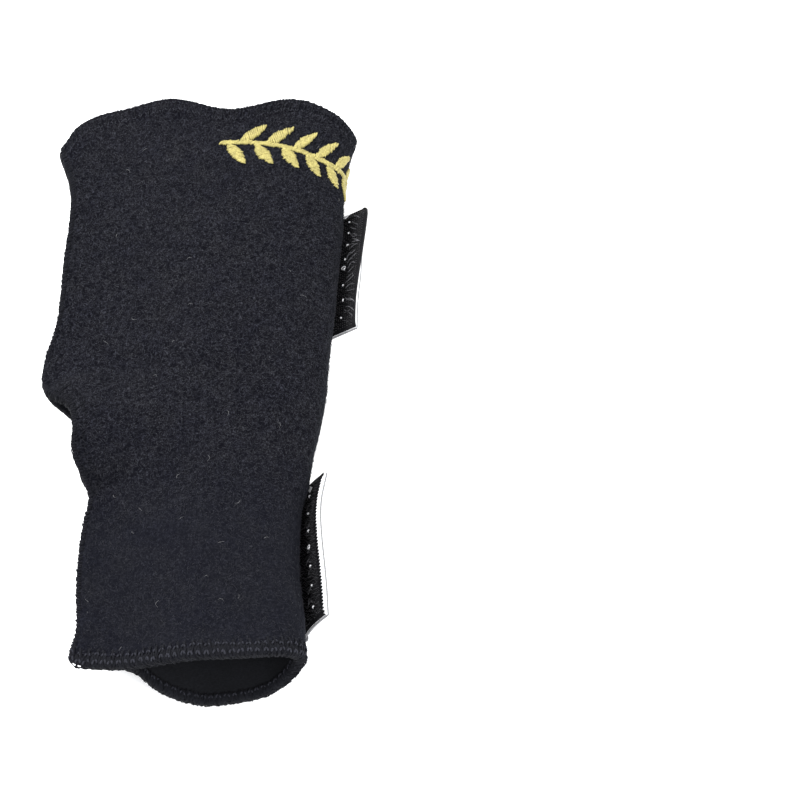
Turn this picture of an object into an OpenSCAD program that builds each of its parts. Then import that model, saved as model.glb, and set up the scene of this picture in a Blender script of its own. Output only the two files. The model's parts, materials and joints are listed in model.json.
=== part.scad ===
// A soft wrist guard lying on its back: a laminated sleeve with a side seam,
// a thumb hole and two hook-and-loop straps folded flat under it.
// Millimetres. +X is the folded side, +Y the hand end, +Z up, Z = 0 the table.

/* [Sleeve] */
// Length from the wrist edge to the hand edge along the side seam
seam_l = 167; // [150:1:185]
// Flat width of the wrist half
wrist_w = 64; // [60:1:68]
// Flat width of the palm half
palm_w = 83; // [78:1:88]
// Height of the open tube, outside to outside
tube_h = 23; // [19:0.5:27]
// Height of the side seam above the table
seam_z = 12; // [10:0.5:16]
// Clear height of the thumb hole at its middle
thumb_gap = 15; // [8:0.5:16]

/* [Laminate] */
// Thickness of the looped outer fabric
fabric_t = 0.8; // [0.5:0.1:1]
// Thickness of the foam between the fabrics
foam_t = 1.6; // [1.2:0.1:2]
// Thickness of the smooth lining
lining_t = 0.6; // [0.4:0.1:0.8]

/* [Thread] */
// Width of the overlocked band on an open edge
hem_w = 4.6; // [3.5:0.1:5]
// Reach of the side seam's thread from the seam onto each panel
seam_w = 1.8; // [1.5:0.1:4]
// How far the overlock thread stands off the laminate
thread_t = 0.6; // [0.4:0.1:0.8]
// How far the satin-stitched sprig stands off the fabric
motif_t = 0.7; // [0.5:0.1:1]

/* [Straps] */
// Width of both straps
strap_w = 42; // [34:1:44]
// Length of the upper strap from its fold line to its tip
upper_strap_l = 72; // [56:1:76]
// Length of the lower strap from its fold line to its tip
lower_strap_l = 55; // [46:1:58]
// Length of each strap's separate hook-taped tip
tip_l = 24; // [18:1:30]

/* [Hidden] */
$fn = 48;
laminate_t = fabric_t + foam_t + lining_t;
joint_gap = 0.03;       // between two layers that touch
wrap_gap = 0.24;        // between the laminate and the thread wrapped round it
inner_arm_t = 0.55;     // how far overlock thread stands off the lining
ends_gap = 0.8;         // between a seam's band and the next band
strap_gap = 0.3;        // between the straps and everything above them

face_t = 0.4;           // strap's smooth outer skin
core_t = 1.0;           // strap's white foam
tape_t = 0.6;           // strap's hook tape
strap_t = face_t + core_t + tape_t;
tab_core_t = 0.8;       // white foam in a sewn tab, pressed thinner
tab_t = face_t + tab_core_t + tape_t;
fold_z = strap_t / 2;   // height of every fold line
corner_r = 6;           // rounded corners at a strap's tip
pad_inset = 2;          // hook tape stops this far inside the tip's edge

sleeve_z = strap_t + strap_gap + 0.25;   // underside of the sleeve
half_h = tube_h / 2;
seam_half = laminate_t + inner_arm_t + joint_gap;  // half the thickness at the seam

// Places along the sleeve, as shares of its length from wrist to hand
notch_v = 0.30;         // lower end of the thumb hole
point_v = 0.52;         // upper end of the thumb hole
waist_v = 0.30;         // where the wrist starts to widen
palm_v = 0.62;          // where the palm's full width starts

// Places across the sleeve, as shares of its width from seam to fold
open_s = 0.60;          // where the pinched side reaches full height
pinched_s = 0.16;       // how far the seam side stays pinched at the wrist edge
pinched_v = 0.25;       // where along the sleeve that pinch has faded
round_w = 16;           // width of the rounded folded side
flat_u = 0.70;          // share of a panel's grid on its flat part

// Grid that every layer, hem and seam shares
flat_steps = 9;
round_steps = 6;
wrist_steps = 9;
thumb_steps = 8;
palm_steps = 14;

// [share of length, how far the seam side stands out from a plain taper]
seam_bulge = [[-0.1, 0], [0, -0.6], [0.06, -1.8], [0.15, -0.9], [0.25, -1.5],
              [notch_v, -2.6], [0.36, 1], [0.43, -0.6], [0.485, -0.8], [point_v, 4.6],
              [0.56, 2], [0.64, -0.8], [0.77, -1.3], [0.88, -2], [0.94, -0.4],
              [1, 3], [1.1, 4]];
// [share of length, how far the folded side stands out from a plain taper]
fold_bulge = [[-0.1, 0], [0, 0], [0.06, -0.3], [0.14, -1.8], [0.21, -2.3], [0.265, -1.9],
              [0.31, 0], [0.45, 0.4], [0.57, -1.9], [0.66, -1], [0.72, -0.4], [0.8, 0.65],
              [0.92, 1.4], [1, 4.4], [1.1, 5]];
// [share of width, how far the hand edge reaches beyond the seam's end]
hand_rise = [[-0.1, -2], [0, 0], [0.05, 7.5], [0.12, 11.5], [0.22, 13.4], [0.37, 15.6],
             [0.57, 10.6], [0.78, 14.2], [0.93, 10], [1, 5.4]];
// [share of width, how far the wrist edge reaches beyond the seam's end]
front_drop = [[-0.1, -0.6], [0, -0.6], [0.5, 0.2], [0.8, -0.4], [1, -2.4]];
back_drop = [[-0.1, -2.2], [0, -2.2], [0.2, -1.8], [0.27, -0.8], [0.37, 3.6], [0.47, 5.8],
             [0.6, 6.6], [0.83, 4.1], [0.93, 1], [1, -2.4]];
// [share of length, height of the tube as a share of its full height]
tube_fill = [[-0.1, 1], [0, 1], [0.3, 0.9], [0.6, 0.88], [0.85, 0.86], [1, 0.82], [1.1, 0.8]];

seam_y = -88.2;         // wrist end of the side seam
wrist_mid_x = -0.5;     // middle of the wrist half
palm_mid_x = -2.2;      // middle of the palm half

function mix(a, b, t) = a + (b - a) * t;
function clamped(t) = max(0, min(1, t));
function ease(t) = let (c = clamped(t)) c * c * (3 - 2 * c);

// Smooth curve through the points of a table
function slope(table, i) =
    let (a = table[max(i - 1, 0)], b = table[min(i + 1, len(table) - 1)])
    (b[1] - a[1]) / (b[0] - a[0]);
function interval(table, x, i = 0) =
    i >= len(table) - 2 || x < table[i + 1][0] ? i : interval(table, x, i + 1);
function on_curve(table, x) =
    let (i = interval(table, x), a = table[i], b = table[i + 1], w = b[0] - a[0],
         t = clamped((x - a[0]) / w), k = t * t * (3 - 2 * t),
         m0 = slope(table, i) * w, m1 = slope(table, i + 1) * w)
    mix(a[1], b[1], k) + m0 * t * (1 - t) * (1 - t) - m1 * t * t * (1 - t);

// Outline of the flattened sleeve
function widening(v) = ease((v - waist_v) / (palm_v - waist_v));
function half_width(v) = mix(wrist_w, palm_w, widening(v)) / 2;
function middle_x(v) = mix(wrist_mid_x, palm_mid_x, widening(v));
function seam_x(v) = middle_x(v) - half_width(v) - on_curve(seam_bulge, v);
function fold_x(v) = middle_x(v) + half_width(v) + on_curve(fold_bulge, v);
function width(v) = fold_x(v) - seam_x(v);
function wrist_y(s, front) = seam_y - on_curve(front ? front_drop : back_drop, s);
function hand_y(s, front) =
    seam_y + seam_l + on_curve(hand_rise, s) - (front ? 0 : 2 * sin(180 * clamped(s)));

// Half the tube's height: pinched at the seam, round at the fold, open at the thumb
function thumb_open(v) =
    v <= notch_v || v >= point_v ? 0 : sin(180 * (v - notch_v) / (point_v - notch_v));
function edge_half(v) = seam_half + (thumb_gap / 2) * thumb_open(v);
function full_half(v) = half_h * on_curve(tube_fill, v);
function rounding(s, v) =
    let (r = round_w / width(v), t = (s - (1 - r)) / r) t <= 0 ? 1 : sqrt(max(0, 1 - t * t));
function opening(s, v) =
    let (start = pinched_s * (1 - ease(v / pinched_v))) ease((s - start) / (open_s - start));
function half_at(s, v) = mix(edge_half(v), full_half(v), opening(s, v)) * rounding(s, v);
function middle_z(s, v) = mix(seam_z, sleeve_z + full_half(v), opening(s, v));

// Outer skin: u runs 0 to 1 from the seam over the front, the fold and the back
function share_across(u, v) =
    let (t = u < 0.5 ? 2 * u : 2 - 2 * u, r = round_w / width(v))
    t < flat_u ? t * (1 - r) / flat_u : 1 - r + r * sin(90 * (t - flat_u) / (1 - flat_u));
function skin_point(u, v) =
    let (front = u < 0.5, s = share_across(u, v),
         y0 = wrist_y(s, front), y1 = hand_y(s, front))
    [seam_x(v) + width(v) * s, mix(y0, y1, v),
     middle_z(s, v) + (front ? 1 : -1) * half_at(s, v)];
function outward(u, v) =
    let (e = 0.004, a = skin_point(u + e, v) - skin_point(u - e, v),
         b = skin_point(u, v + e) - skin_point(u, v - e), n = cross(a, b))
    n / norm(n);
// The point at depth d under the outer skin
function at(u, v, d) = skin_point(u, v) - d * outward(u, v);

// Distances from an edge, in millimetres
function length_at(u, v) =
    let (s = share_across(u, v)) hand_y(s, u < 0.5) - wrist_y(s, u < 0.5);
function u_per_mm(v) = flat_u / (2 * (1 - round_w / width(v)) * width(v));
function wrist_edge(u, a, d) = at(u, a / length_at(u, 0), d);
function hand_edge(u, a, d) = at(u, 1 - a / length_at(u, 1), d);
function front_edge(v, a, d) = at(a * u_per_mm(v), v, d);
function back_edge(v, a, d) = at(1 - a * u_per_mm(v), v, d);

function steps(from, to, n) = [for (i = [0:n - 1]) mix(from, to, i / n)];
half_grid = concat(steps(0, flat_u / 2, flat_steps), steps(flat_u / 2, 0.5, round_steps));
function reversed(list) = [for (i = [len(list) - 1:-1:0]) list[i]];
girth_grid = concat(half_grid, [0.5], reversed([for (u = half_grid) 1 - u]));
band_v = (hem_w + ends_gap) / seam_l;
hole_from = notch_v + ends_gap / seam_l;
hole_to = point_v - ends_gap / seam_l;
length_grid = concat([0], steps(band_v, notch_v, wrist_steps), [notch_v],
                     steps(hole_from, hole_to, thumb_steps), [hole_to],
                     steps(point_v, 1 - band_v, palm_steps), [1 - band_v, 1]);
function between(list, from, to) =
    concat([from], [for (x = list) if (x > from + 0.002 && x < to - 0.002) x], [to]);

// A closed solid from rings of paired points: each ring runs out along one skin
// and back along the other, so its two ends close with one strip of faces. Both
// skins are cut along the same diagonals, so stacked layers meet without crossing
module skin(rings) {
    n = len(rings[0]);
    half = n / 2;
    last = (len(rings) - 1) * n;
    walls = [for (i = [0:len(rings) - 2], j = [0:n - 1])
        let (a = i * n + j, b = i * n + (j + 1) % n, c = b + n, d = a + n)
        each j < half ? [[a, b, c], [a, c, d]] : [[a, b, d], [b, c, d]]];
    caps = [for (j = [0:half - 2])
        let (a = j, b = j + 1, c = n - 2 - j, d = n - 1 - j)
        each [[a, c, b], [a, d, c], [last + a, last + b, last + c], [last + a, last + c, last + d]]];
    points = [for (ring = rings) each ring];
    polyhedron(points, concat(walls, caps), convexity = 10);
}

// One layer of the sleeve, between two depths
module layer(outer_d, inner_d) {
    skin([for (v = length_grid) concat(
        [for (u = girth_grid) at(u, v, outer_d)],
        reversed([for (u = girth_grid) at(u, v, inner_d)]))]);
}

// Overlock thread round an edge, as [distance from the edge, depth]
band_outside = [[hem_w, -wrap_gap - 0.1], [hem_w - 0.6, -thread_t], [0.4, -thread_t],
                [-thread_t, 0.3], [-thread_t, laminate_t - 0.3],
                [0.4, laminate_t + inner_arm_t], [hem_w, laminate_t + inner_arm_t]];
band_inside = [[hem_w, -wrap_gap], [hem_w - 0.6, -wrap_gap], [0.4, -wrap_gap],
               [-joint_gap, -wrap_gap], [-joint_gap, laminate_t + wrap_gap],
               [0.4, laminate_t + wrap_gap], [hem_w, laminate_t + wrap_gap]];
band = concat(band_outside, reversed(band_inside));

module outer_fabric() {
    color([0.16, 0.16, 0.19]) layer(0, fabric_t);
}

module foam_core() {
    color([0.08, 0.08, 0.09]) layer(fabric_t + joint_gap, fabric_t + foam_t - joint_gap);
}

module lining() {
    color([0.1, 0.1, 0.12]) layer(fabric_t + foam_t, laminate_t);
}

module wrist_hem() {
    color([0.09, 0.09, 0.1])
        skin([for (u = girth_grid) [for (p = reversed(band)) wrist_edge(u, p[0], p[1])]]);
}

module hand_hem() {
    color([0.09, 0.09, 0.1])
        skin([for (u = girth_grid) [for (p = band) hand_edge(u, p[0], p[1])]]);
}

// The thumb hole's two edges stop short of the seams above and below them
thumb_grid = between(length_grid, hole_from, hole_to);
thumb_hem_share = 0.8;  // its band is narrower than the hems'

module front_thumb_hem() {
    color([0.09, 0.09, 0.1])
        skin([for (v = thumb_grid) [for (p = band) front_edge(v, p[0] * thumb_hem_share, p[1])]]);
}

module back_thumb_hem() {
    color([0.09, 0.09, 0.1])
        skin([for (v = thumb_grid) [for (p = reversed(band)) back_edge(v, p[0] * thumb_hem_share, p[1])]]);
}

// Thread that wraps both panels' edges together
module seam(from_v, to_v) {
    far = -thread_t;
    near = -wrap_gap;
    skin([for (v = between(length_grid, from_v, to_v)) [
        front_edge(v, seam_w, far), front_edge(v, far, far),
        back_edge(v, far, far), back_edge(v, seam_w, far),
        back_edge(v, seam_w, near), back_edge(v, near, near),
        front_edge(v, near, near), front_edge(v, seam_w, near)]]);
}

module lower_seam() {
    color([0.09, 0.09, 0.1]) seam(band_v, notch_v);
}

module upper_seam() {
    color([0.09, 0.09, 0.1]) seam(point_v, 1 - band_v);
}

// Satin-stitched sprig, placed by distance round the sleeve from its fold (front
// is negative) and height on the sleeve; it runs over the fold onto the back
sprig_from = [-47, 77.5];
sprig_to = [8, 68.5];
sprig_bow = 1.5;
stem_w = 1.2;
leaf_l = 8;
leaf_w = 3.4;
leaf_lean = 48;
leaf_pairs = 7;
girth = 2 * (palm_w + 6);
sprig_gap = 0.1;
function on_sleeve(p, d) =
    let (u = 0.5 + p[0] / girth, s = share_across(u, 0.9), front = u < 0.5,
         y0 = wrist_y(s, front), v = (p[1] - y0) / (hand_y(s, front) - y0))
    at(u, v, d);
function stem_point(t) =
    mix(sprig_from, sprig_to, t) + [0, sprig_bow * sin(360 * t)];
stem_way = (sprig_to - sprig_from) / norm(sprig_to - sprig_from);
stem_side = [-stem_way[1], stem_way[0]];
function stitched(a, b) =
    [on_sleeve(a, -motif_t), on_sleeve(b, -motif_t), on_sleeve(b, -sprig_gap), on_sleeve(a, -sprig_gap)];

module stem() {
    half = stem_side * stem_w / 2;
    skin([for (i = [0:22]) let (p = stem_point(i / 22)) stitched(p - half, p + half)]);
}

module leaf(root, way) {
    side = [-way[1], way[0]];
    skin([for (i = [0:5])
        let (t = i / 5, p = root + way * leaf_l * t,
             half = side * (0.25 + (leaf_w / 2 - 0.25) * sin(180 * pow(t, 0.8))))
        stitched(p - half, p + half)]);
}

module leaf_sprig() {
    color([0.8, 0.75, 0.45]) {
        stem();
        for (i = [0:leaf_pairs - 1], hand = [-1, 1]) {
            t = (i + 0.5 + 0.18 * hand) / leaf_pairs;
            way = stem_way * cos(leaf_lean) + hand * stem_side * sin(leaf_lean);
            leaf(stem_point(t) + hand * stem_side * (stem_w / 2 + 0.75), way);
        }
    }
}

// Straps. In a strap's own frame the fold line is at x = 0, the free end lies
// towards -x under the sleeve and the sewn tab stands up towards +x
upper_place = [35.2, 39.5, -4]; // x, y and turn of the upper fold line
lower_place = [30, -54.5, 2];   // x, y and turn of the lower fold line
module strap_frame(place) {
    translate([place[0], place[1], 0]) rotate([0, 0, place[2]]) children();
}

// Sewn tab: a short flat root, then a slope of the given rise
tab_root = 2.4;
tab_z = strap_t + strap_gap;
module tab_layer(slope_l, rise, from_d, to_d) {
    way = [cos(rise), sin(rise)];
    up = [-sin(rise), cos(rise)];
    bend_from = from_d * tan(rise / 2);
    bend_to = to_d * tan(rise / 2);
    rotate([90, 0, 0]) linear_extrude(strap_w, center = true) polygon([
        [-tab_root, tab_z + from_d], [-bend_from, tab_z + from_d],
        [0, tab_z] + way * slope_l + up * from_d, [0, tab_z] + way * slope_l + up * to_d,
        [-bend_to, tab_z + to_d], [-tab_root, tab_z + to_d]]);
}

module tab_stitches(slope_l, rise) {
    stitch_l = 2.6;
    pitch = 4;
    count = floor((strap_w - 4) / pitch);
    for (i = [0:count - 1])
        translate([0, (i - (count - 1) / 2) * pitch, tab_z])
            rotate([0, -rise, 0])
                translate([slope_l * 0.55, 0, tab_t - 0.1])
                    rotate([0, 0, i % 2 == 0 ? 35 : -35])
                        cube([stitch_l, 0.4, 0.5], center = true);
}

// Stitches are let into the tape, so they never share its space
module tab_tape(slope_l, rise) {
    difference() {
        tab_layer(slope_l, rise, face_t + tab_core_t, tab_t);
        tab_stitches(slope_l, rise);
    }
}

upper_tab = [14.2, 36.5]; // slope length and rise of the upper tab
lower_tab = [15, 64];     // slope length and rise of the lower tab

module upper_tab_face() {
    color([0.3, 0.3, 0.32]) strap_frame(upper_place) tab_layer(upper_tab[0], upper_tab[1], 0, face_t);
}
module upper_tab_core() {
    color([0.9, 0.9, 0.9])
        strap_frame(upper_place) tab_layer(upper_tab[0], upper_tab[1], face_t, face_t + tab_core_t);
}
module upper_tab_tape() {
    color([0.1, 0.1, 0.11]) strap_frame(upper_place) tab_tape(upper_tab[0], upper_tab[1]);
}
module upper_tab_stitching() {
    color([0.25, 0.25, 0.27]) strap_frame(upper_place) tab_stitches(upper_tab[0], upper_tab[1]);
}
module lower_tab_face() {
    color([0.3, 0.3, 0.32]) strap_frame(lower_place) tab_layer(lower_tab[0], lower_tab[1], 0, face_t);
}
module lower_tab_core() {
    color([0.9, 0.9, 0.9])
        strap_frame(lower_place) tab_layer(lower_tab[0], lower_tab[1], face_t, face_t + tab_core_t);
}
module lower_tab_tape() {
    color([0.1, 0.1, 0.11]) strap_frame(lower_place) tab_tape(lower_tab[0], lower_tab[1]);
}
module lower_tab_stitching() {
    color([0.25, 0.25, 0.27]) strap_frame(lower_place) tab_stitches(lower_tab[0], lower_tab[1]);
}

// Flat strap layers: the webbing from the fold line to the tip's fold line,
// and the tip with two rounded corners
tip_clear = fold_z + strap_gap;
module web_layer(strap_l, from_z, to_z) {
    translate([-(strap_l - tip_l - tip_clear), -strap_w / 2, from_z])
        cube([strap_l - tip_l - tip_clear, strap_w, to_z - from_z]);
}

module tip_outline(inset) {
    r = corner_r - inset;
    union() {
        translate([-tip_l + corner_r, -strap_w / 2 + inset])
            square([tip_l - corner_r - inset, strap_w - 2 * inset]);
        translate([-tip_l + inset, -strap_w / 2 + corner_r])
            square([corner_r, strap_w - 2 * corner_r]);
        for (side = [-1, 1])
            translate([-tip_l + corner_r, side * (strap_w / 2 - corner_r)]) circle(r);
    }
}

module tip_layer(strap_l, from_z, to_z, inset = 0) {
    translate([-(strap_l - tip_l), 0, from_z])
        linear_extrude(to_z - from_z) tip_outline(inset);
}

// The strap's loop-faced backing is as thick as the hook tape on its tip
module upper_strap_face() {
    color([0.3, 0.3, 0.32]) strap_frame(upper_place) web_layer(upper_strap_l, 0, face_t);
}
module upper_strap_core() {
    color([0.9, 0.9, 0.9]) strap_frame(upper_place) web_layer(upper_strap_l, face_t, face_t + core_t);
}
module upper_strap_backing() {
    color([0.12, 0.12, 0.13])
        strap_frame(upper_place) web_layer(upper_strap_l, face_t + core_t, strap_t);
}
module upper_tip_face() {
    color([0.3, 0.3, 0.32]) strap_frame(upper_place) tip_layer(upper_strap_l, 0, face_t);
}
module upper_tip_core() {
    color([0.9, 0.9, 0.9]) strap_frame(upper_place) tip_layer(upper_strap_l, face_t, face_t + core_t);
}
module upper_tip_hook_tape() {
    color([0.1, 0.1, 0.11])
        strap_frame(upper_place) tip_layer(upper_strap_l, face_t + core_t, strap_t, pad_inset);
}
module lower_strap_face() {
    color([0.3, 0.3, 0.32]) strap_frame(lower_place) web_layer(lower_strap_l, 0, face_t);
}
module lower_strap_core() {
    color([0.9, 0.9, 0.9]) strap_frame(lower_place) web_layer(lower_strap_l, face_t, face_t + core_t);
}
module lower_strap_backing() {
    color([0.12, 0.12, 0.13])
        strap_frame(lower_place) web_layer(lower_strap_l, face_t + core_t, strap_t);
}
module lower_tip_face() {
    color([0.3, 0.3, 0.32]) strap_frame(lower_place) tip_layer(lower_strap_l, 0, face_t);
}
module lower_tip_core() {
    color([0.9, 0.9, 0.9]) strap_frame(lower_place) tip_layer(lower_strap_l, face_t, face_t + core_t);
}
module lower_tip_hook_tape() {
    color([0.1, 0.1, 0.11])
        strap_frame(lower_place) tip_layer(lower_strap_l, face_t + core_t, strap_t, pad_inset);
}

outer_fabric();
foam_core();
lining();
wrist_hem();
hand_hem();
front_thumb_hem();
back_thumb_hem();
lower_seam();
upper_seam();
leaf_sprig();
upper_tab_face();
upper_tab_core();
upper_tab_tape();
upper_tab_stitching();
lower_tab_face();
lower_tab_core();
lower_tab_tape();
lower_tab_stitching();
upper_strap_face();
upper_strap_core();
upper_strap_backing();
upper_tip_face();
upper_tip_core();
upper_tip_hook_tape();
lower_strap_face();
lower_strap_core();
lower_strap_backing();
lower_tip_face();
lower_tip_core();
lower_tip_hook_tape();
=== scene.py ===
"""Looks for a soft wrist guard that lies on its back with its straps folded under it.

Shapes are built in millimetres in the CAD frame and scaled to metres when a mesh is made.
The sleeve's shape follows the functions of part.scad: u runs 0 to 1 from the side seam over
the front, the folded side and the back; v runs 0 to 1 from the wrist to the hand; d is depth.
Here the thumb hole ends 3 to 4 mm nearer the wrist and the seam's end at the wrist is worn.
"""

import json
import math

import bpy
import numpy as np
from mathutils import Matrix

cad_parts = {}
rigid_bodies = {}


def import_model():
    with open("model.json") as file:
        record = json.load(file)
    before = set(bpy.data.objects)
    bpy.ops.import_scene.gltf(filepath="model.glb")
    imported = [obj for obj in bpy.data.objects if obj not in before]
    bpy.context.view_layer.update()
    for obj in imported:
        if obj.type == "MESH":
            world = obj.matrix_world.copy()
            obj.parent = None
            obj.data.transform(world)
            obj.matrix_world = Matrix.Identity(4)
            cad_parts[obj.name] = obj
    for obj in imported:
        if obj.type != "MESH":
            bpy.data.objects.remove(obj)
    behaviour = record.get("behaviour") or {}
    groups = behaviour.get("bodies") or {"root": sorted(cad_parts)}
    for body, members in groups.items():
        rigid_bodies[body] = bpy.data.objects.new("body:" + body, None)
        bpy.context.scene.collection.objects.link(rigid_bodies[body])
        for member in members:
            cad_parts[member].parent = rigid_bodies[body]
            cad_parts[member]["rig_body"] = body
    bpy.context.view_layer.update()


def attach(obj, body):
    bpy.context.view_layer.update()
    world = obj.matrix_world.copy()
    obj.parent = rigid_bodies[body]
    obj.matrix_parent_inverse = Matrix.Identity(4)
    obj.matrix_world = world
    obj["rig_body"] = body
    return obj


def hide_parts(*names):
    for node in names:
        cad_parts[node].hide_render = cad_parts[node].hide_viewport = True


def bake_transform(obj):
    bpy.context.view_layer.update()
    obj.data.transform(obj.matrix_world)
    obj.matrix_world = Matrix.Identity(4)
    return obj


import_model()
scene = bpy.context.scene
MM = 0.001
random = np.random.default_rng(7)


# ------------------------------------------------------------ camera, floor and light
CAMERA_HEIGHT = math.radians(63)
CAMERA_DISTANCE = 0.6
CAMERA_TARGET = np.array([0.0572, -0.00475, 0.01])
CAMERA_LENS = 93.1


def make_camera():
    back = np.array([0, -math.cos(CAMERA_HEIGHT), math.sin(CAMERA_HEIGHT)])
    data = bpy.data.cameras.new("camera")
    data.lens = CAMERA_LENS
    data.sensor_width = 36
    data.clip_start = 0.01
    camera = bpy.data.objects.new("camera", data)
    camera.location = CAMERA_TARGET + CAMERA_DISTANCE * back
    camera.rotation_euler = (math.pi / 2 - CAMERA_HEIGHT, 0, 0)
    scene.collection.objects.link(camera)
    scene.camera = camera


def make_light(name, place, size, power, target=(0, 0, 0)):
    data = bpy.data.lights.new(name, "AREA")
    data.shape = "DISK"
    data.size = size
    data.energy = power
    light = bpy.data.objects.new(name, data)
    light.location = place
    way = np.array(place) - np.array(target)
    tilt = math.acos(way[2] / np.linalg.norm(way))
    light.rotation_euler = (0, tilt, math.atan2(way[1], way[0]))
    scene.collection.objects.link(light)


def make_stage():
    scene.view_settings.view_transform = "Standard"
    world = bpy.data.worlds.new("studio")
    scene.world = world
    world.use_nodes = True
    sky = world.node_tree.nodes["Background"]
    sky.inputs["Color"].default_value = (0.95, 0.97, 1.0, 1)
    sky.inputs["Strength"].default_value = 1.2
    make_light("key_light", (-0.5, 0.35, 0.75), 0.5, 16)
    make_light("fill_light", (0.6, -0.5, 0.7), 0.7, 8)
    bpy.ops.mesh.primitive_plane_add(size=6, location=(0, 0, -0.0002))
    floor = bpy.context.object
    floor.name = "floor"
    floor.data.materials.append(plain_paper())


# ------------------------------------------------------------ materials
# Each material, by its name
materials = {}
# Darkest and lightest colour, roughness, gloss, sheen, and millimetres from one twist to the next
THREADS = {
    "black_thread": ((0.0036, 0.0038, 0.0052), (0.0088, 0.0092, 0.0122), 0.8, 0.05, 0.012, 0.22),
    "needle_thread": ((0.0048, 0.0049, 0.007), (0.027, 0.028, 0.037), 0.7, 0.1, 0.015, 0.22),
    # The silver thread is white thread, and its pale loops also stand in for glints, a painted
    # highlight.
    "silver_thread": ((0.55, 0.55, 0.57), (0.92, 0.92, 0.94), 0.35, 0.5, 0.2, 0.22),
    "yellow_thread": ((0.17, 0.14, 0.034), (0.44, 0.385, 0.13), 0.5, 0.25, 0.07, 0.3),
    "nap_fibre": ((0.004, 0.0042, 0.006), (0.040, 0.041, 0.049), 0.8, 0.08, 0.015, 0.4),
    "lint_fibre": ((0.05, 0.05, 0.055), (0.2, 0.2, 0.205), 0.8, 0.2, 0.05, 0.4),
    "moulded_hooks": ((0.0035, 0.0035, 0.0045), (0.03, 0.03, 0.033), 0.4, 0.4, 0.0, 1.3),
    # The zigzag thread's pale tone paints broken glints along its strands.
    "zigzag_thread": ((0.004, 0.004, 0.006), (0.115, 0.115, 0.125), 0.5, 0.3, 0.03, 1.1)}
FOAMS = {
    "black_foam": ((0.006, 0.006, 0.007), (0.012, 0.012, 0.014)),
    "white_foam": ((0.72, 0.72, 0.73), (0.86, 0.86, 0.87)),
    "cut_edge": ((0.13, 0.13, 0.135), (0.22, 0.22, 0.225))}
PRESSED_FROM = -50 * MM     # the pile is pressed flat on the wrist side of this height
PRESSED_TO = -18 * MM       # and stands up on the hand side of this one


def set_inputs(node, values):
    for socket, value in values.items():
        node.inputs[socket].default_value = value


class Surface:
    """A material while it is made. Its textures follow the object's own coordinates."""

    def __init__(self, name, stretch=(1, 1, 1)):
        material = bpy.data.materials.new(name)
        material.use_nodes = True
        materials[name] = material
        self.nodes = material.node_tree.nodes
        self.link = material.node_tree.links.new
        place = self.nodes.new("ShaderNodeTexCoord")
        mapping = self.nodes.new("ShaderNodeMapping")
        mapping.inputs["Scale"].default_value = stretch
        self.link(place.outputs["Object"], mapping.inputs["Vector"])
        self.vector = mapping.outputs["Vector"]

    def noise(self, period_mm, detail=3, roughness=0.6, distortion=0.0):
        """A noise texture whose lumps are about period_mm apart."""
        node = self.nodes.new("ShaderNodeTexNoise")
        set_inputs(node, {"Scale": 1 / (period_mm * MM), "Detail": detail,
                          "Roughness": roughness, "Distortion": distortion})
        self.link(self.vector, node.inputs["Vector"])
        return node.outputs["Fac"]

    def ramp(self, value, stops):
        """A value turned into colour, by stops of (place, colour)."""
        node = self.nodes.new("ShaderNodeValToRGB")
        band = node.color_ramp
        while len(band.elements) < len(stops):
            band.elements.new(0.5)
        for element, (place, colour) in zip(band.elements, stops):
            element.position = place
            element.color = (*colour, 1)
        self.link(value, node.inputs["Fac"])
        return node.outputs["Color"]

    def shade(self, value, dark=0.8, light=1.15, first=0.3, last=0.7):
        """Greys that darken or lighten what they are multiplied with."""
        return self.ramp(value, [(first, (dark,) * 3), (last, (light,) * 3)])

    def bump(self, height, strength, distance_mm, normal=None):
        node = self.nodes.new("ShaderNodeBump")
        set_inputs(node, {"Strength": strength, "Distance": distance_mm * MM})
        self.link(height, node.inputs["Height"])
        if normal is not None:
            self.link(normal, node.inputs["Normal"])
        return node.outputs["Normal"]

    def combine(self, first, second, how="MULTIPLY"):
        node = self.nodes.new("ShaderNodeMix")
        node.data_type = "RGBA"
        node.blend_type = how
        node.inputs["Factor"].default_value = 1
        self.link(first, node.inputs["A"])
        self.link(second, node.inputs["B"])
        return node.outputs["Result"]

    def curls(self, period_mm, light):
        """Thin curling lines, like the loops of a pile: their field and their colour."""
        field = self.noise(period_mm, detail=1.5, distortion=0.9)
        dim = tuple(0.25 * k for k in light)
        dark = (0.0014, 0.0015, 0.0028)
        lines = self.ramp(field, [(0.43, dark), (0.478, dim), (0.496, light), (0.504, light),
                                  (0.522, dim), (0.57, dark)])
        return field, lines

    def flattened(self, tone):
        """The pile's colour, evened out towards the wrist, where the pile is pressed flat."""
        split = self.nodes.new("ShaderNodeSeparateXYZ")
        self.link(self.vector, split.inputs[0])
        fade = self.nodes.new("ShaderNodeMapRange")
        set_inputs(fade, {"From Min": PRESSED_FROM, "From Max": PRESSED_TO, "To Min": 0.5,
                          "To Max": 0.0})
        self.link(split.outputs["Y"], fade.inputs["Value"])
        blend = self.nodes.new("ShaderNodeMix")
        blend.data_type = "RGBA"
        blend.inputs[7].default_value = (0.0051, 0.0054, 0.0081, 1)
        self.link(fade.outputs[0], blend.inputs[0])
        self.link(tone, blend.inputs[6])
        return blend.outputs[2]

    def finish(self, colour, normal, roughness, gloss, sheen=0.0, sheen_tint=(1, 1, 1)):
        shader = self.nodes["Principled BSDF"]
        self.link(colour, shader.inputs["Base Color"])
        self.link(normal, shader.inputs["Normal"])
        set_inputs(shader, {"Roughness": roughness, "Specular IOR Level": gloss,
                            "Sheen Weight": sheen, "Sheen Roughness": 0.6,
                            "Sheen Tint": (*sheen_tint, 1)})


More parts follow.
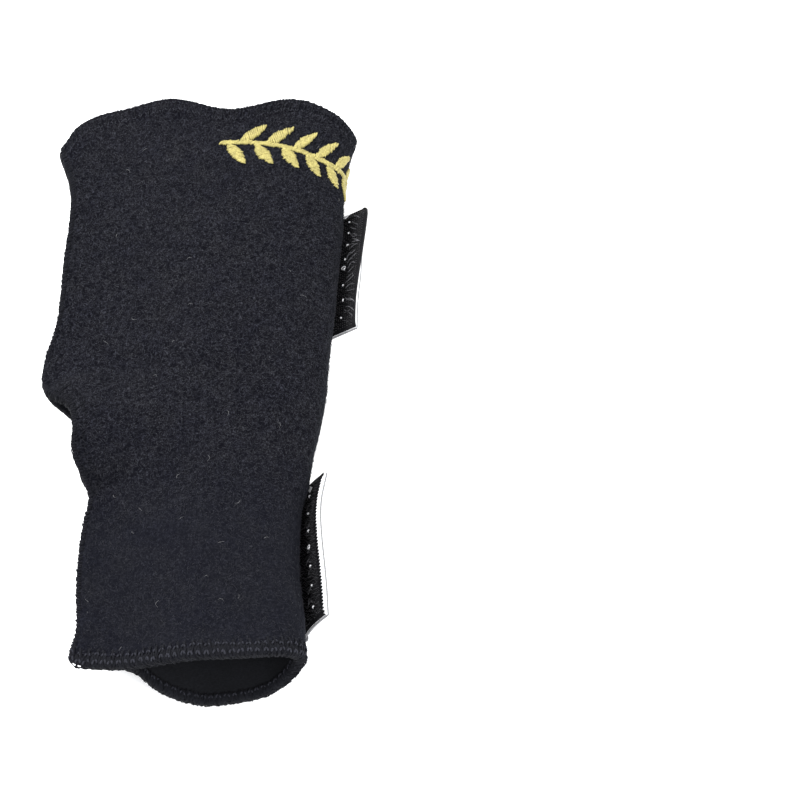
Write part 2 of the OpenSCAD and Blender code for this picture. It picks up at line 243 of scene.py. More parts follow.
def plain_paper():
    material = bpy.data.materials.new("plain_paper")
    material.use_nodes = True
    set_inputs(material.node_tree.nodes["Principled BSDF"], {
        "Base Color": (0.88, 0.88, 0.88, 1), "Roughness": 0.9, "Specular IOR Level": 0.0,
        "Emission Color": (1, 1, 1, 1), "Emission Strength": 0.4})
    return material


def looped_fabric():
    """Napped loop fabric: curly loops about 1 mm across over broader, fainter patches."""
    skin = Surface("looped_fabric")
    small, small_lines = skin.curls(1.1, (0.0238, 0.0244, 0.0298))
    large_lines = skin.curls(1.8, (0.0135, 0.0139, 0.018))[1]
    fine = skin.noise(0.4, detail=2)
    patches = skin.noise(9, detail=4)
    tone = skin.combine(small_lines, large_lines, "LIGHTEN")
    cloud = skin.ramp(patches, [(0.3, (0.84, 0.85, 0.94)), (0.7, (1.12, 1.11, 1.06))])
    mottled = skin.flattened(skin.combine(tone, skin.shade(fine, 0.5, 1.4)))
    normal = skin.bump(fine, 0.5, 0.12, skin.bump(small, 0.8, 0.35))
    skin.finish(skin.combine(mottled, cloud), normal, 0.95, 0.04, 0.014, (0.8, 0.85, 1.0))


def knit_lining():
    """Smooth knit: fine ribs with a soft random break-up."""
    skin = Surface("knit_lining", (1, 2.2, 1))
    loops = skin.noise(0.7, detail=2)
    patches = skin.noise(12)
    tone = skin.ramp(loops, [(0.3, (0.0030, 0.0033, 0.0044)), (0.7, (0.0075, 0.0079, 0.0098))])
    colour = skin.combine(tone, skin.shade(patches))
    skin.finish(colour, skin.bump(loops, 0.35, 0.12), 0.8, 0.08, 0.02)


def closed_foam(name, dark, light):
    """Closed-cell foam: small dimples all over."""
    skin = Surface(name)
    cells = skin.noise(0.4, detail=2)
    colour = skin.ramp(cells, [(0.3, dark), (0.6, light)])
    skin.finish(colour, skin.bump(cells, 0.5, 0.1), 0.85, 0.2)


def thread(name, dark, light, roughness, gloss, sheen, twist_mm):
    """Twisted thread: fine strokes along each strand and a slow change of tone between strands. In
    the zigzag thread the pale strokes are painted glints.
    """
    skin = Surface(name)
    fibres = skin.noise(twist_mm, detail=2)
    strands = skin.noise(1.6, detail=2)
    tone = skin.ramp(fibres, [(0.3, dark), (0.65, light)])
    colour = skin.combine(tone, skin.shade(strands))
    skin.finish(colour, skin.bump(fibres, 0.6, 0.06), roughness, gloss, sheen)


def woven_skin():
    """Thin smooth woven skin, dark grey, with fine cross rows."""
    skin = Surface("woven_skin")
    wave = skin.nodes.new("ShaderNodeTexWave")
    wave.wave_type = "BANDS"
    wave.bands_direction = "Y"
    set_inputs(wave, {"Scale": 1 / (0.9 * MM) / 3, "Distortion": 1.5})
    skin.link(skin.vector, wave.inputs["Vector"])
    rows = wave.outputs["Fac"]
    specks = skin.noise(0.5)
    tone = skin.ramp(specks, [(0.3, (0.035, 0.036, 0.04)), (0.7, (0.075, 0.076, 0.08))])
    colour = skin.combine(tone, skin.shade(rows, 0.85, 1.1, 0, 1))
    skin.finish(colour, skin.bump(rows, 0.4, 0.08), 0.55, 0.3)


def hook_tape():
    """Black moulded hook tape: a dull woven ground with broken highlights painted into its colour.
    """
    skin = Surface("hook_tape")
    specks = skin.noise(0.5, detail=4, roughness=0.7)
    # The palest stop paints broken highlights as pale specks in the colour.
    tone = skin.ramp(specks, [(0.3, (0.0016, 0.0016, 0.0024)), (0.56, (0.0042, 0.0042, 0.0052)),
                              (0.72, (0.032, 0.032, 0.035))])
    skin.finish(tone, skin.bump(specks, 0.8, 0.2), 0.62, 0.12)


def make_materials():
    for make in (looped_fabric, knit_lining, woven_skin, hook_tape):
        make()
    for name, settings in THREADS.items():
        thread(name, *settings)
    for name, colours in FOAMS.items():
        closed_foam(name, *colours)
    # The straps' loop backing and dark thread keep the plain CAD materials that the frame loads
    materials["strap_loop"] = bpy.data.materials["looped_fabric"]
    materials["strap_thread"] = bpy.data.materials["black_thread"]


# ------------------------------------------------------------ mesh helpers
def add_piece(name, points, faces, look, body="sleeve", node=None):
    """A mesh object from points in millimetres and arrays of faces that share a size.

    The piece rides on a body and may take the place of a CAD node.
    """
    points = np.asarray(points, float).reshape(-1, 3)
    mesh = bpy.data.meshes.new(name)
    corners = np.concatenate([f.ravel() for f in faces])
    sizes = np.concatenate([np.full(len(f), f.shape[1]) for f in faces])
    starts = np.concatenate([[0], np.cumsum(sizes)[:-1]])
    mesh.vertices.add(len(points))
    mesh.vertices.foreach_set("co", (points * MM).ravel())
    mesh.loops.add(len(corners))
    mesh.loops.foreach_set("vertex_index", corners.astype(np.int32))
    mesh.polygons.add(len(sizes))
    mesh.polygons.foreach_set("loop_start", starts.astype(np.int32))
    mesh.polygons.foreach_set("loop_total", sizes.astype(np.int32))
    mesh.polygons.foreach_set("use_smooth", np.full(len(sizes), True))
    mesh.update(calc_edges=True)
    mesh.validate()
    mesh.materials.append(materials[look])
    piece = bpy.data.objects.new(name, mesh)
    scene.collection.objects.link(piece)
    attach(piece, body)
    if node is not None:
        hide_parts(node)
    return piece


def spread(*values):
    """The values as arrays of one shape."""
    return np.broadcast_arrays(*(np.asarray(k, float) for k in values))


def grid_faces(rows, cols, start=0, flip=False):
    """Quads of a grid whose points run along its columns first."""
    i, j = np.meshgrid(np.arange(rows - 1), np.arange(cols - 1), indexing="ij")
    a = (start + i * cols + j).ravel()
    quads = np.stack([a, a + 1, a + cols + 1, a + cols], 1)
    return quads[:, ::-1] if flip else quads


def rim(rows, cols):
    """Point numbers round a grid's border, in order."""
    index = np.arange(rows * cols).reshape(rows, cols)
    return np.concatenate([index[0], index[1:, -1], index[-1, -2::-1], index[-2:0:-1, 0]])


def shell(outer, inner):
    """Points and faces of a closed slab between two grids of the same shape."""
    rows, cols = outer.shape[:2]
    count = rows * cols
    edge = rim(rows, cols)
    after = np.roll(edge, -1)
    sides = np.stack([edge, edge + count, after + count, after], 1)
    points = np.concatenate([outer.reshape(-1, 3), inner.reshape(-1, 3)])
    return points, [grid_faces(rows, cols), grid_faces(rows, cols, count, True), sides]


def normalised(vectors):
    return vectors / np.maximum(np.linalg.norm(vectors, axis=-1, keepdims=True), 1e-9)


def tube_faces(rings, sides):
    """Walls and both ends of a tube whose points run round each ring in turn."""
    i, j = np.meshgrid(np.arange(rings - 1), np.arange(sides), indexing="ij")
    n = (j + 1) % sides
    walls = np.stack([i * sides + j, (i + 1) * sides + j, (i + 1) * sides + n, i * sides + n], -1)
    near = np.arange(sides)[None]
    return [walls.reshape(-1, 4), near, (rings - 1) * sides + near[:, ::-1]]


def sweep(paths, normals, width, height, sides, taper=0.55):
    """Closed tubes along paths (strand, point, xyz), flattened towards their normals."""
    strands, count = paths.shape[:2]
    along = normalised(np.gradient(paths, axis=1))
    across = normalised(np.cross(along, normals))
    up = np.cross(across, along)
    size = np.ones(count)
    size[[0, -1]] = taper
    angle = np.arange(sides) * 2 * math.pi / sides
    ring = (np.cos(angle)[:, None] * across[:, :, None] * width
            + np.sin(angle)[:, None] * up[:, :, None] * height) * size[:, None, None]
    points = paths[:, :, None] + ring
    step = (np.arange(strands) * count * sides)[:, None, None]
    faces = [(step + f[None]).reshape(-1, f.shape[1]) for f in tube_faces(count, sides)]
    return points.reshape(-1, 3), faces


def joined(parts):
    """Several (points, faces) as one."""
    points, faces, start = [], [], 0
    for part_points, part_faces in parts:
        points.append(part_points)
        faces += [f + start for f in part_faces]
        start += len(part_points)
    return np.concatenate(points), faces


def soft_noise(shape, blur, seed):
    """Random heights, about -1 to 1, with lumps a few grid steps wide."""
    heights = np.random.default_rng(seed).standard_normal(shape)
    reach = int(3 * blur) + 1
    kernel = np.exp(-np.arange(-reach, reach + 1) ** 2 / (2 * blur * blur))
    kernel /= kernel.sum()
    for axis in (0, 1):
        heights = np.apply_along_axis(lambda row: np.convolve(row, kernel, "same"), axis, heights)
    return heights / (2 * heights.std())


# ------------------------------------------------------------ the sleeve's shape
seam_l = 167
wrist_w = 64
palm_w = 83
tube_h = 23
seam_z = 12
thumb_gap = 15
fabric_t = 0.8
foam_t = 1.6
lining_t = 0.6
laminate_t = fabric_t + foam_t + lining_t
strap_t = 2.0
strap_gap = 0.3
sleeve_z = strap_t + strap_gap + 0.25
half_h = tube_h / 2
seam_half = laminate_t + 0.58
notch_v = 0.30
point_v = 0.502
waist_v = 0.30
palm_v = 0.62
open_s = 0.60
pinched_s = 0.16
pinched_v = 0.25
round_w = 16
worn_r = 3.6            # the seam's end at the wrist is worn round
worn_v = 0.07
flat_u = 0.70
seam_y = -88.2
wrist_mid_x = -0.5
palm_mid_x = -2.2

seam_bulge = [(-0.1, 0), (0, -0.2), (0.06, -1.8), (0.15, -0.9), (0.25, -1.5),
              (notch_v, -2.6), (0.36, 0.6), (0.42, -1.2), (0.467, -0.9), (point_v, 4.6),
              (0.56, 2.9), (0.6, 0.6), (0.64, -0.8), (0.77, -1.3), (0.88, -2), (0.94, -0.4),
              (1, 3), (1.1, 4)]
fold_bulge = [(-0.1, 0), (0, 0), (0.06, -0.3), (0.14, -1.8), (0.21, -2.3), (0.265, -1.9),
              (0.31, 0), (0.45, 0.4), (0.57, -1.9), (0.66, -1), (0.72, -0.4), (0.8, 0.65),
              (0.92, 1.4), (1, 4.4), (1.1, 5)]
hand_rise = [(-0.1, -2), (0, 0), (0.05, 7.5), (0.12, 11.5), (0.22, 13.4), (0.37, 15.6),
             (0.57, 10.6), (0.78, 14.2), (0.93, 10), (1, 5.4)]
front_drop = [(-0.1, -0.6), (0, -0.6), (0.5, 0.2), (0.8, -0.4), (1, -2.4)]
back_drop = [(-0.1, -2.2), (0, -2.2), (0.2, -1.8), (0.27, -0.8), (0.37, 3.6), (0.47, 5.8),
             (0.6, 6.6), (0.83, 4.1), (0.93, 1), (1, -2.4)]
tube_fill = [(-0.1, 1), (0, 1), (0.3, 0.9), (0.6, 0.88), (0.85, 0.86), (1, 0.82), (1.1, 0.8)]


def mix(a, b, t):
    return a + (b - a) * t


def ease(t):
    t = np.clip(t, 0, 1)
    return t * t * (3 - 2 * t)


def on_curve(table, x):
    """Smooth curve through the points of a table."""
    places, heights = np.array(table, float).T
    before = np.r_[0, np.arange(len(places) - 1)]
    after = np.r_[np.arange(1, len(places)), len(places) - 1]
    slopes = (heights[after] - heights[before]) / (places[after] - places[before])
    i = np.clip(np.searchsorted(places, x, side="right") - 1, 0, len(places) - 2)
    wide = places[i + 1] - places[i]
    t = np.clip((x - places[i]) / wide, 0, 1)
    level = mix(heights[i], heights[i + 1], t * t * (3 - 2 * t))
    return (level + slopes[i] * wide * t * (1 - t) ** 2
            - slopes[i + 1] * wide * t * t * (1 - t))


def side_x(v, side, bulge):
    """Where a side of the sleeve runs: side is -1 at the seam and 1 at the fold."""
    wide = ease((v - waist_v) / (palm_v - waist_v))
    return (mix(wrist_mid_x, palm_mid_x, wide) + side * mix(wrist_w, palm_w, wide) / 2
            + side * on_curve(bulge, v))


def seam_x(v):
    return side_x(v, -1, seam_bulge)


def width(v):
    return side_x(v, 1, fold_bulge) - seam_x(v)


def wrist_y(s, front):
    return seam_y - np.where(front, on_curve(front_drop, s), on_curve(back_drop, s))


def hand_y(s, front):
    lift = np.where(front, 0, 2 * np.sin(math.pi * np.clip(s, 0, 1)))
    return seam_y + seam_l + on_curve(hand_rise, s) - lift


def full_half(v):
    return half_h * on_curve(tube_fill, v)


def share_across(u, v):
    t = np.where(u < 0.5, 2 * u, 2 - 2 * u)
    r = round_w / width(v)
    turn = np.sin(math.pi / 2 * np.clip((t - flat_u) / (1 - flat_u), 0, 1))
    return np.where(t < flat_u, t * (1 - r) / flat_u, 1 - r + r * turn)


def skin_point(u, v):
    """The outer skin before the cloth settles."""
    u, v = spread(u, v)
    front = u < 0.5
    s = share_across(u, v)
    hole = np.clip((v - notch_v) / (point_v - notch_v), 0, 1)
    edge_half = seam_half + thumb_gap / 2 * np.sin(math.pi * hole)
    start = pinched_s * (1 - ease(v / pinched_v))
    opening = ease((s - start) / (open_s - start))
    r = round_w / width(v)
    bend = np.clip((s - (1 - r)) / r, 0, 1)
    half = mix(edge_half, full_half(v), opening) * np.sqrt(np.maximum(0, 1 - bend * bend))
    middle = mix(seam_z, sleeve_z + full_half(v), opening)
    x = seam_x(v) + width(v) * s
    near = np.clip(1 - s * width(v) / worn_r, 0, 1)
    corner = worn_r * (1 - np.sqrt(1 - 0.8 * near * near)) * (1 - ease(v / worn_v))
    y = mix(wrist_y(s, front), hand_y(s, front), v) + corner
    z = middle + np.where(front, 1, -1) * half
    return np.stack([x, y, z], -1)


# The skin is kept as a fine grid that runs a little past the cloth's edges
OVER_U = 0.04
OVER_V = 0.05
GRID_COLS = 433
GRID_ROWS = 451
grid_u = np.linspace(-OVER_U, 1 + OVER_U, GRID_COLS)
grid_v = np.linspace(-OVER_V, 1 + OVER_V, GRID_ROWS)


def outward_of(points):
    return normalised(np.cross(np.gradient(points, axis=1), np.gradient(points, axis=0)))


def between(grid, i, j):
    """A grid's value at row i and column j, which may lie between its points."""
    i0 = np.clip(i.astype(int), 0, grid.shape[0] - 2)
    j0 = np.clip(j.astype(int), 0, grid.shape[1] - 2)
    a = (i - i0)[..., None]
    b = (j - j0)[..., None]
    low = grid[i0, j0] * (1 - b) + grid[i0, j0 + 1] * b
    high = grid[i0 + 1, j0] * (1 - b) + grid[i0 + 1, j0 + 1] * b
    return low * (1 - a) + high * a


def look_up(grid, u, v):
    return between(grid, (v + OVER_V) / (1 + 2 * OVER_V) * (GRID_ROWS - 1),
                   (u + OVER_U) / (1 + 2 * OVER_U) * (GRID_COLS - 1))


SETTLE_LIMIT = 1.3      # the most the cloth may move, in millimetres
SETTLE_FRAMES = 20
SETTLE_COLS = 61
SETTLE_ROWS = 65
SEWN_EDGE = 0.02        # share of the cloth next to each edge that the seams and hems hold
LYING_U = 0.75          # middle of the back, which lies on the straps and the floor
LYING_REACH = 0.17
LYING_HOLD = 0.7        # how firmly the lying part is held
FOLD_STARTS = 0.38      # from here to the fold the simulation's moves fade out
FOLD_FADE = 0.1
CLOTH_SETTINGS = {"quality": 6, "mass": 0.4, "tension_stiffness": 20, "compression_stiffness": 20,
                  "shear_stiffness": 8, "bending_stiffness": 3, "shrink_min": -0.03}


def settled(points, u, v):
    """Cloth simulation of the sleeve with its edges held: how far each point moves outward."""
    rows, cols = points.shape[:2]
    mesh = bpy.data.meshes.new("settling")
    mesh.from_pydata((points.reshape(-1, 3) * MM).tolist(), [], grid_faces(rows, cols).tolist())
    cloth_object = bpy.data.objects.new("settling", mesh)
    scene.collection.objects.link(cloth_object)
    held = cloth_object.vertex_groups.new(name="held")
    near_edge = np.minimum(np.minimum(u, 1 - u), np.minimum(v, 1 - v))
    weight = np.where(near_edge < SEWN_EDGE, 1.0, 0.0)
    weight = np.maximum(weight, np.where(np.abs(u - LYING_U) < LYING_REACH, LYING_HOLD, 0.0))
    for index, value in enumerate(weight.ravel()):
        if value > 0:
            held.add([index], float(value), "REPLACE")
    modifier = cloth_object.modifiers.new("cloth", "CLOTH")
    cloth = modifier.settings
    for name, value in CLOTH_SETTINGS.items():
        setattr(cloth, name, value)
    cloth.vertex_group_mass = "held"
    cloth.effector_weights.gravity = 0.15
    modifier.collision_settings.use_collision = False
    for number in range(1, SETTLE_FRAMES + 1):
        scene.frame_set(number)
    depsgraph = bpy.context.evaluated_depsgraph_get()
    result = cloth_object.evaluated_get(depsgraph)
    moved = np.zeros(rows * cols * 3, np.float32)
    result.data.vertices.foreach_get("co", moved)
    bpy.data.objects.remove(cloth_object)
    bpy.data.meshes.remove(mesh)
    scene.frame_set(1)
    shift = moved.reshape(rows, cols, 3) / MM - points
    return (shift * outward_of(points)).sum(-1)


def blurred(values, times):
    for _ in range(times):
        padded = np.pad(values, 1, mode="edge")
        values = (padded[:-2, 1:-1] + padded[2:, 1:-1] + padded[1:-1, :-2]
                  + padded[1:-1, 2:] + 4 * values) / 8
    return values


def settle_sleeve(skin):
    """Adds the front's simulated moves to the fine skin. The fold and the back keep their line."""
    u, v = np.meshgrid(np.linspace(0, 1, SETTLE_COLS), np.linspace(0, 1, SETTLE_ROWS))
    move = settled(skin_point(u, v), u, v)
    move = blurred(np.clip(move, -SETTLE_LIMIT, SETTLE_LIMIT), 4)
    move = move * (1 - ease((u - FOLD_STARTS) / FOLD_FADE))
    i, j = np.meshgrid(np.clip(grid_v, 0, 1) * (SETTLE_ROWS - 1),
                       np.clip(grid_u, 0, 1) * (SETTLE_COLS - 1), indexing="ij")
    fine = between(move[..., None], i, j)[..., 0]
    return skin + outward_of(skin) * blurred(fine, 6)[..., None]


def build_skin():
    u, v = np.meshgrid(grid_u, grid_v)
    return settle_sleeve(skin_point(u, v))


skin_grid = build_skin()
outward_grid = outward_of(skin_grid)


def at(u, v, d):
    """The point at depth d under the outer skin."""
    u, v, d = spread(u, v, d)
    return look_up(skin_grid, u, v) - look_up(outward_grid, u, v) * d[..., None]


def outward(u, v):
    u, v = spread(u, v)
    return normalised(look_up(outward_grid, u, v))


def length_at(u):
    s = share_across(u, np.full(np.shape(u), 0.5))
    return hand_y(s, u < 0.5) - wrist_y(s, u < 0.5)


def u_per_mm(v):
    return flat_u / (2 * (1 - round_w / width(v)) * width(v))


# An edge function gives the u and v that lie a millimetres in from an edge
def from_wrist(u, a):
    return u, a / length_at(u)


def from_hand(u, a):
    return u, 1 - a / length_at(u)


def from_front_seam(v, a):
    return a * u_per_mm(v), v


def from_back_seam(v, a):
    return 1 - a * u_per_mm(v), v


# ------------------------------------------------------------ cloth layers
def layer(name, node, look, outer_d, inner_d, cols, rows, relief=0.0):
    """One cloth layer between two depths, as fine as its columns and rows."""
    u, v = np.meshgrid(np.linspace(0, 1, cols), np.linspace(0, 1, rows))
    return add_piece(name, *shell(at(u, v, outer_d - relief), at(u, v, inner_d)), look, node=node)


def make_layers():
    cols, rows = 325, 333
    nap = 0.11 * soft_noise((rows, cols), 0.9, 11) + 0.16 * soft_noise((rows, cols), 9, 12)
    foam_d = fabric_t + foam_t
    return (layer("outer_cloth", "outer_fabric", "looped_fabric", 0, fabric_t, cols, rows, nap),
            layer("foam_layer", "foam_core", "black_foam", fabric_t + 0.05, foam_d - 0.05, 97, 105),
            layer("lining_cloth", "lining", "knit_lining", foam_d, laminate_t, 145, 151))


# ------------------------------------------------------------ overlock thread
PITCH = 2.2             # from one overlock stitch to the next
BED_SINK = 0.14         # how far the bed lies under its strands
# Profiles run from the outer face round the edge to the lining: (in from the edge, depth), and
# in a seam also the share of the way from the front panel to the back one
RIDGE = [(2.5, -0.1), (1.7, -0.34), (0.8, -0.36), (0.1, -0.1), (-0.2, 0.6), (-0.26, 1.5),
         (-0.2, 2.4), (0.1, 3.1), (0.8, 3.26), (1.8, 3.24), (2.6, 3.04)]
LADDER = [(4.6, 0.08), (4.1, -0.26), (3.4, -0.34), (2.7, -0.34), (2.1, -0.36), (1.5, -0.3)]
WRIST_BED = [(4.4, 0.1), (3.6, -0.1), (2.4, -0.16)] + RIDGE[1:]
NARROW = [(1.0, 0.04), (0.7, -0.1), (0.3, -0.14), (-0.1, 0.04), (-0.3, 0.6), (-0.36, 1.5),
          (-0.3, 2.5), (0.0, 3.14), (0.9, 3.3), (2.2, 3.3), (3.6, 3.05)]
SEAM = [(1.1, -0.02, 0), (0.6, -0.16, 0), (0.1, -0.14, 0), (-0.2, 0.1, 0.03), (-0.38, 0.1, 0.25),
        (-0.44, 0.1, 0.5), (-0.38, 0.1, 0.75), (-0.2, 0.1, 0.97), (0.1, -0.14, 1),
        (0.6, -0.16, 1), (1.1, -0.02, 1)]
SEAM_BED = [(1.0, 0.04, 0), (0.1, 0.02, 0), (-0.14, 0.16, 0.05), (-0.24, 0.16, 0.5),
            (-0.14, 0.16, 0.95), (0.1, 0.02, 1), (1.0, 0.04, 1)]
LONG = [(4.1, 0.05), (3.4, -0.16), (2.2, -0.2), (1.1, -0.2), (0.3, -0.2), (-0.25, 0.0)]


class Track:
    """A line of edge along which thread runs: place(t, a) gives u and v for a millimetres in."""

    def __init__(self, place, start, stop, other=None):
        self.place = place
        self.other = other
        self.t = np.linspace(start, stop, 800)
        line = at(*place(self.t, 0.0), 0.0)
        self.run = np.r_[0, np.cumsum(np.linalg.norm(np.diff(line, axis=0), axis=1))]
        self.length = self.run[-1]

    def where(self, m, a, d, w=0.0):
        """Points m millimetres along, a in from the edge and d deep; w moves to the other edge."""
        m, a, d, w = spread(m, a, d, w)
        t = np.interp(m, self.run, self.t)
        near = at(*self.place(t, a), d)
        if self.other is None:
            return near
        return mix(near, at(*self.other(t, a), d), w[..., None])

    def out(self, m, a):
        t = np.interp(m, self.run, self.t)
        return outward(*self.place(t, a))


def stations_of(profile):
    """A profile as rows of (in from the edge, depth, share of the way to the other edge)."""
    stations = np.array(profile, float)
    return np.c_[stations, np.zeros((len(stations), 3 - stations.shape[1]))]


def strokes(track, per_pitch, slant, profile, width_mm, height_mm, jitter):
    """Strands of thread, spaced evenly, over the profile from one face to the other."""
    starts = evenly(track, per_pitch)
    inset, deep, over = stations_of(profile).T
    drift = np.linspace(0, 1, len(inset))[None]
    wander = random.normal(0, jitter, (len(starts), 2))
    m = starts[:, None] + PITCH * slant * drift
    m = m + wander[:, :1] + (wander[:, 1:] - wander[:, :1]) * drift
    m = np.clip(m, 0, track.length)
    a = inset[None] + random.normal(0, jitter / 2, (len(starts), 1))
    loose = random.uniform(-0.6, 0.4, (len(starts), 1)) * jitter
    paths = track.where(m, a, deep + loose * np.sign(laminate_t / 2 - deep), over)
    centre = track.where(m, 1.5, laminate_t / 2, over)
    return sweep(paths, normalised(paths - centre), width_mm, height_mm, 6)


def band(track, profile):
    """The padded bed that the strands lie on: a closed strip round the edge."""
    inset, deep, over = stations_of(profile).T
    short = laminate_t / 2 - deep
    deep = deep + np.sign(short) * np.minimum(BED_SINK, abs(short))
    inset = inset + np.where(inset < 0, BED_SINK, 0)
    count = max(int(track.length / 1.1), 4)
    m = np.linspace(0, track.length, count)[:, None]
    return track.where(m, inset, deep, over).reshape(-1, 3), tube_faces(count, len(inset))


def purl(track, out, w_at_edge=0.0):
    """Loops that lock the thread along the very edge."""
    starts = evenly(track, 1)
    s = np.linspace(0, 1, 9)[None]
    wander = random.normal(0, 0.12, (len(starts), 1))
    m = np.clip(starts[:, None] + PITCH * (1.15 * s - 0.1) + wander, 0, track.length)
    a = -out - 0.12 * np.sin(math.pi * s) + wander / 3
    d = laminate_t / 2 - np.sin(2 * math.pi * s)
    paths = track.where(m, a, d, w_at_edge)
    centre = track.where(m, 1.5, d, w_at_edge)
    return sweep(paths, normalised(paths - centre), 0.26, 0.2, 6)


def needle_loops(track, line_a, depth, reach, size):
    """Small slanting loops where the needle thread pulls the strands down."""
    starts = evenly(track, 1)
    count = len(starts)
    s = np.linspace(0, 1, 7)[None]
    outside = 1 if depth < 1 else -1
    parts = []
    for lean in (-1, 1):
        wander = random.normal(0, 0.16, (count, 1))
        m = starts[:, None] + lean * (0.12 + 0.42 * s) * PITCH / 2 + wander
        a = line_a - reach * s * random.uniform(0.7, 1.2, (count, 1)) + wander
        m = np.clip(m, 0, track.length)
        paths = track.where(m, a, depth - size * np.sin(math.pi * s) * outside)
        parts.append(sweep(paths, track.out(m, a), size, size * 0.8, 6))
    return joined(parts)


def evenly(track, per_pitch):
    count = int(track.length / PITCH * per_pitch)
    return (np.arange(count) + 0.5) * track.length / count


def make_wrist_hem(track):
    """A thick rounded ridge, then a ladder of strands and a row of needle loops."""
    wrap = joined([band(track, WRIST_BED),
                   strokes(track, 6, 1.1, RIDGE, 0.24, 0.05, 0.25),
                   strokes(track, 2, -0.8, RIDGE, 0.2, 0.07, 0.4),
                   strokes(track, 1, 0.25, LADDER, 0.36, 0.2, 0.22),
                   purl(track, 0.2)])
    add_piece("wrist_hem_wrap", *wrap, "black_thread", node="wrist_hem")
    loops = joined([needle_loops(track, 1.3, -0.34, 1.0, 0.27),
                    needle_loops(track, 3.3, -0.26, 0.8, 0.23),
                    needle_loops(track, 1.9, laminate_t + 0.3, 0.8, 0.2)])
    add_piece("wrist_hem_needle_loops", *loops, "needle_thread")


def make_soft_hem(name, track, scale, ladder, needle):
    """Thread half sunk in the nap: a narrow dark rim with sparse strands over the cloth."""
    narrow, long = ([(max(a, 0) * scale + min(a, 0), d) for a, d in profile]
                    for profile in (NARROW, LONG))
    wrap = joined([band(track, narrow),
                   strokes(track, 2.5, 0.5, narrow, 0.26, 0.17, 0.14),
                   strokes(track, ladder, 0.3, long, 0.16, 0.12, 0.2),
                   purl(track, 0.3)])
    add_piece(name + "_wrap", *wrap, "black_thread", node=name)
    loops = joined([needle_loops(track, 1.5 * scale, -0.2, 0.5, 0.13),
                    needle_loops(track, 4.0 * scale, -0.14, 0.7, 0.13),
                    needle_loops(track, 4.0 * scale, laminate_t + 0.2, 1.0, 0.2)])
    add_piece(name + "_needle_loops", *loops, needle)


def make_seam(name, track):
    """Thread that draws the two panels together along the side."""
    wrap = joined([band(track, SEAM_BED),
                   strokes(track, 3, 0.6, SEAM, 0.3, 0.16, 0.2),
                   purl(track, 0.42, 0.5)])
    add_piece(name + "_thread", *wrap, "black_thread", node=name)


def make_thread_ends(track):
    """Two white stitches that tie off the seam under its end at the wrist; their white partly
    paints glints there.
    """
    s = np.linspace(0, 1, 7)[None]
    m = np.array([[1.9], [3.4]]) + 0.9 * s
    a = -0.16 - 0.2 * np.sin(math.pi * s)
    ends = sweep(track.where(m, a, 0.2), track.out(*spread(m, a)), 0.2, 0.2, 6)
    add_piece("tied_thread_ends", *ends, "silver_thread")


def make_overlock():
    gap = 0.3 / seam_l
    past = 0.9 / seam_l
    reach = 1.6 / seam_l
    make_wrist_hem(Track(from_wrist, 0, 1))
    make_thread_ends(Track(from_wrist, 0, 1))
    make_soft_hem("hand_hem", Track(from_hand, 0, 1), 1, 1, "needle_thread")
    for name, place in (("front_thumb_hem", from_front_seam), ("back_thumb_hem", from_back_seam)):
        track = Track(place, notch_v + gap, point_v - gap)
        make_soft_hem(name, track, 0.8, 0.25, "black_thread")
    for name, start, stop in (("lower_seam", reach, notch_v + past),
                              ("upper_seam", point_v - past, 1 - reach)):
        make_seam(name, Track(from_front_seam, start, stop, from_back_seam))


# ------------------------------------------------------------ embroidered sprig
SPRIG_FROM = np.array([-47, 77.5])
SPRIG_TO = np.array([8, 68.5])
SPRIG_BOW = 1.5
STEM_W = 1.5
LEAF_L = 8.4
LEAF_W = 3.7
LEAF_LEAN = math.radians(48)
LEAF_PAIRS = 7
GIRTH = 2 * (palm_w + 6)
STITCH = 0.56           # from one satin stitch to the next


def on_sleeve(p, d):
    """A point by distance round the sleeve from its fold and height on it."""
    u = 0.5 + p[..., 0] / GIRTH
    front = u < 0.5
    s = share_across(u, np.full(u.shape, 0.9))
    low = wrist_y(s, front)
    v = (p[..., 1] - low) / (hand_y(s, front) - low)
    return at(u, v, d), outward(u, v)


def satin(starts, stops, rise):
    """Parallel stitches from starts to stops, arched over the fabric."""
    s = np.linspace(0, 1, 9)
    flat = mix(starts[:, None], stops[:, None], s[None, :, None])
    depth = -(0.05 + rise * np.sin(math.pi * s) ** 0.5)[None] + 0 * flat[..., 0]
    depth = depth + random.normal(0, 0.05, (len(starts), 1))
    paths, normals = on_sleeve(flat, depth)
    return sweep(paths, normals, STITCH * 0.52, 0.26, 8, taper=0.35)


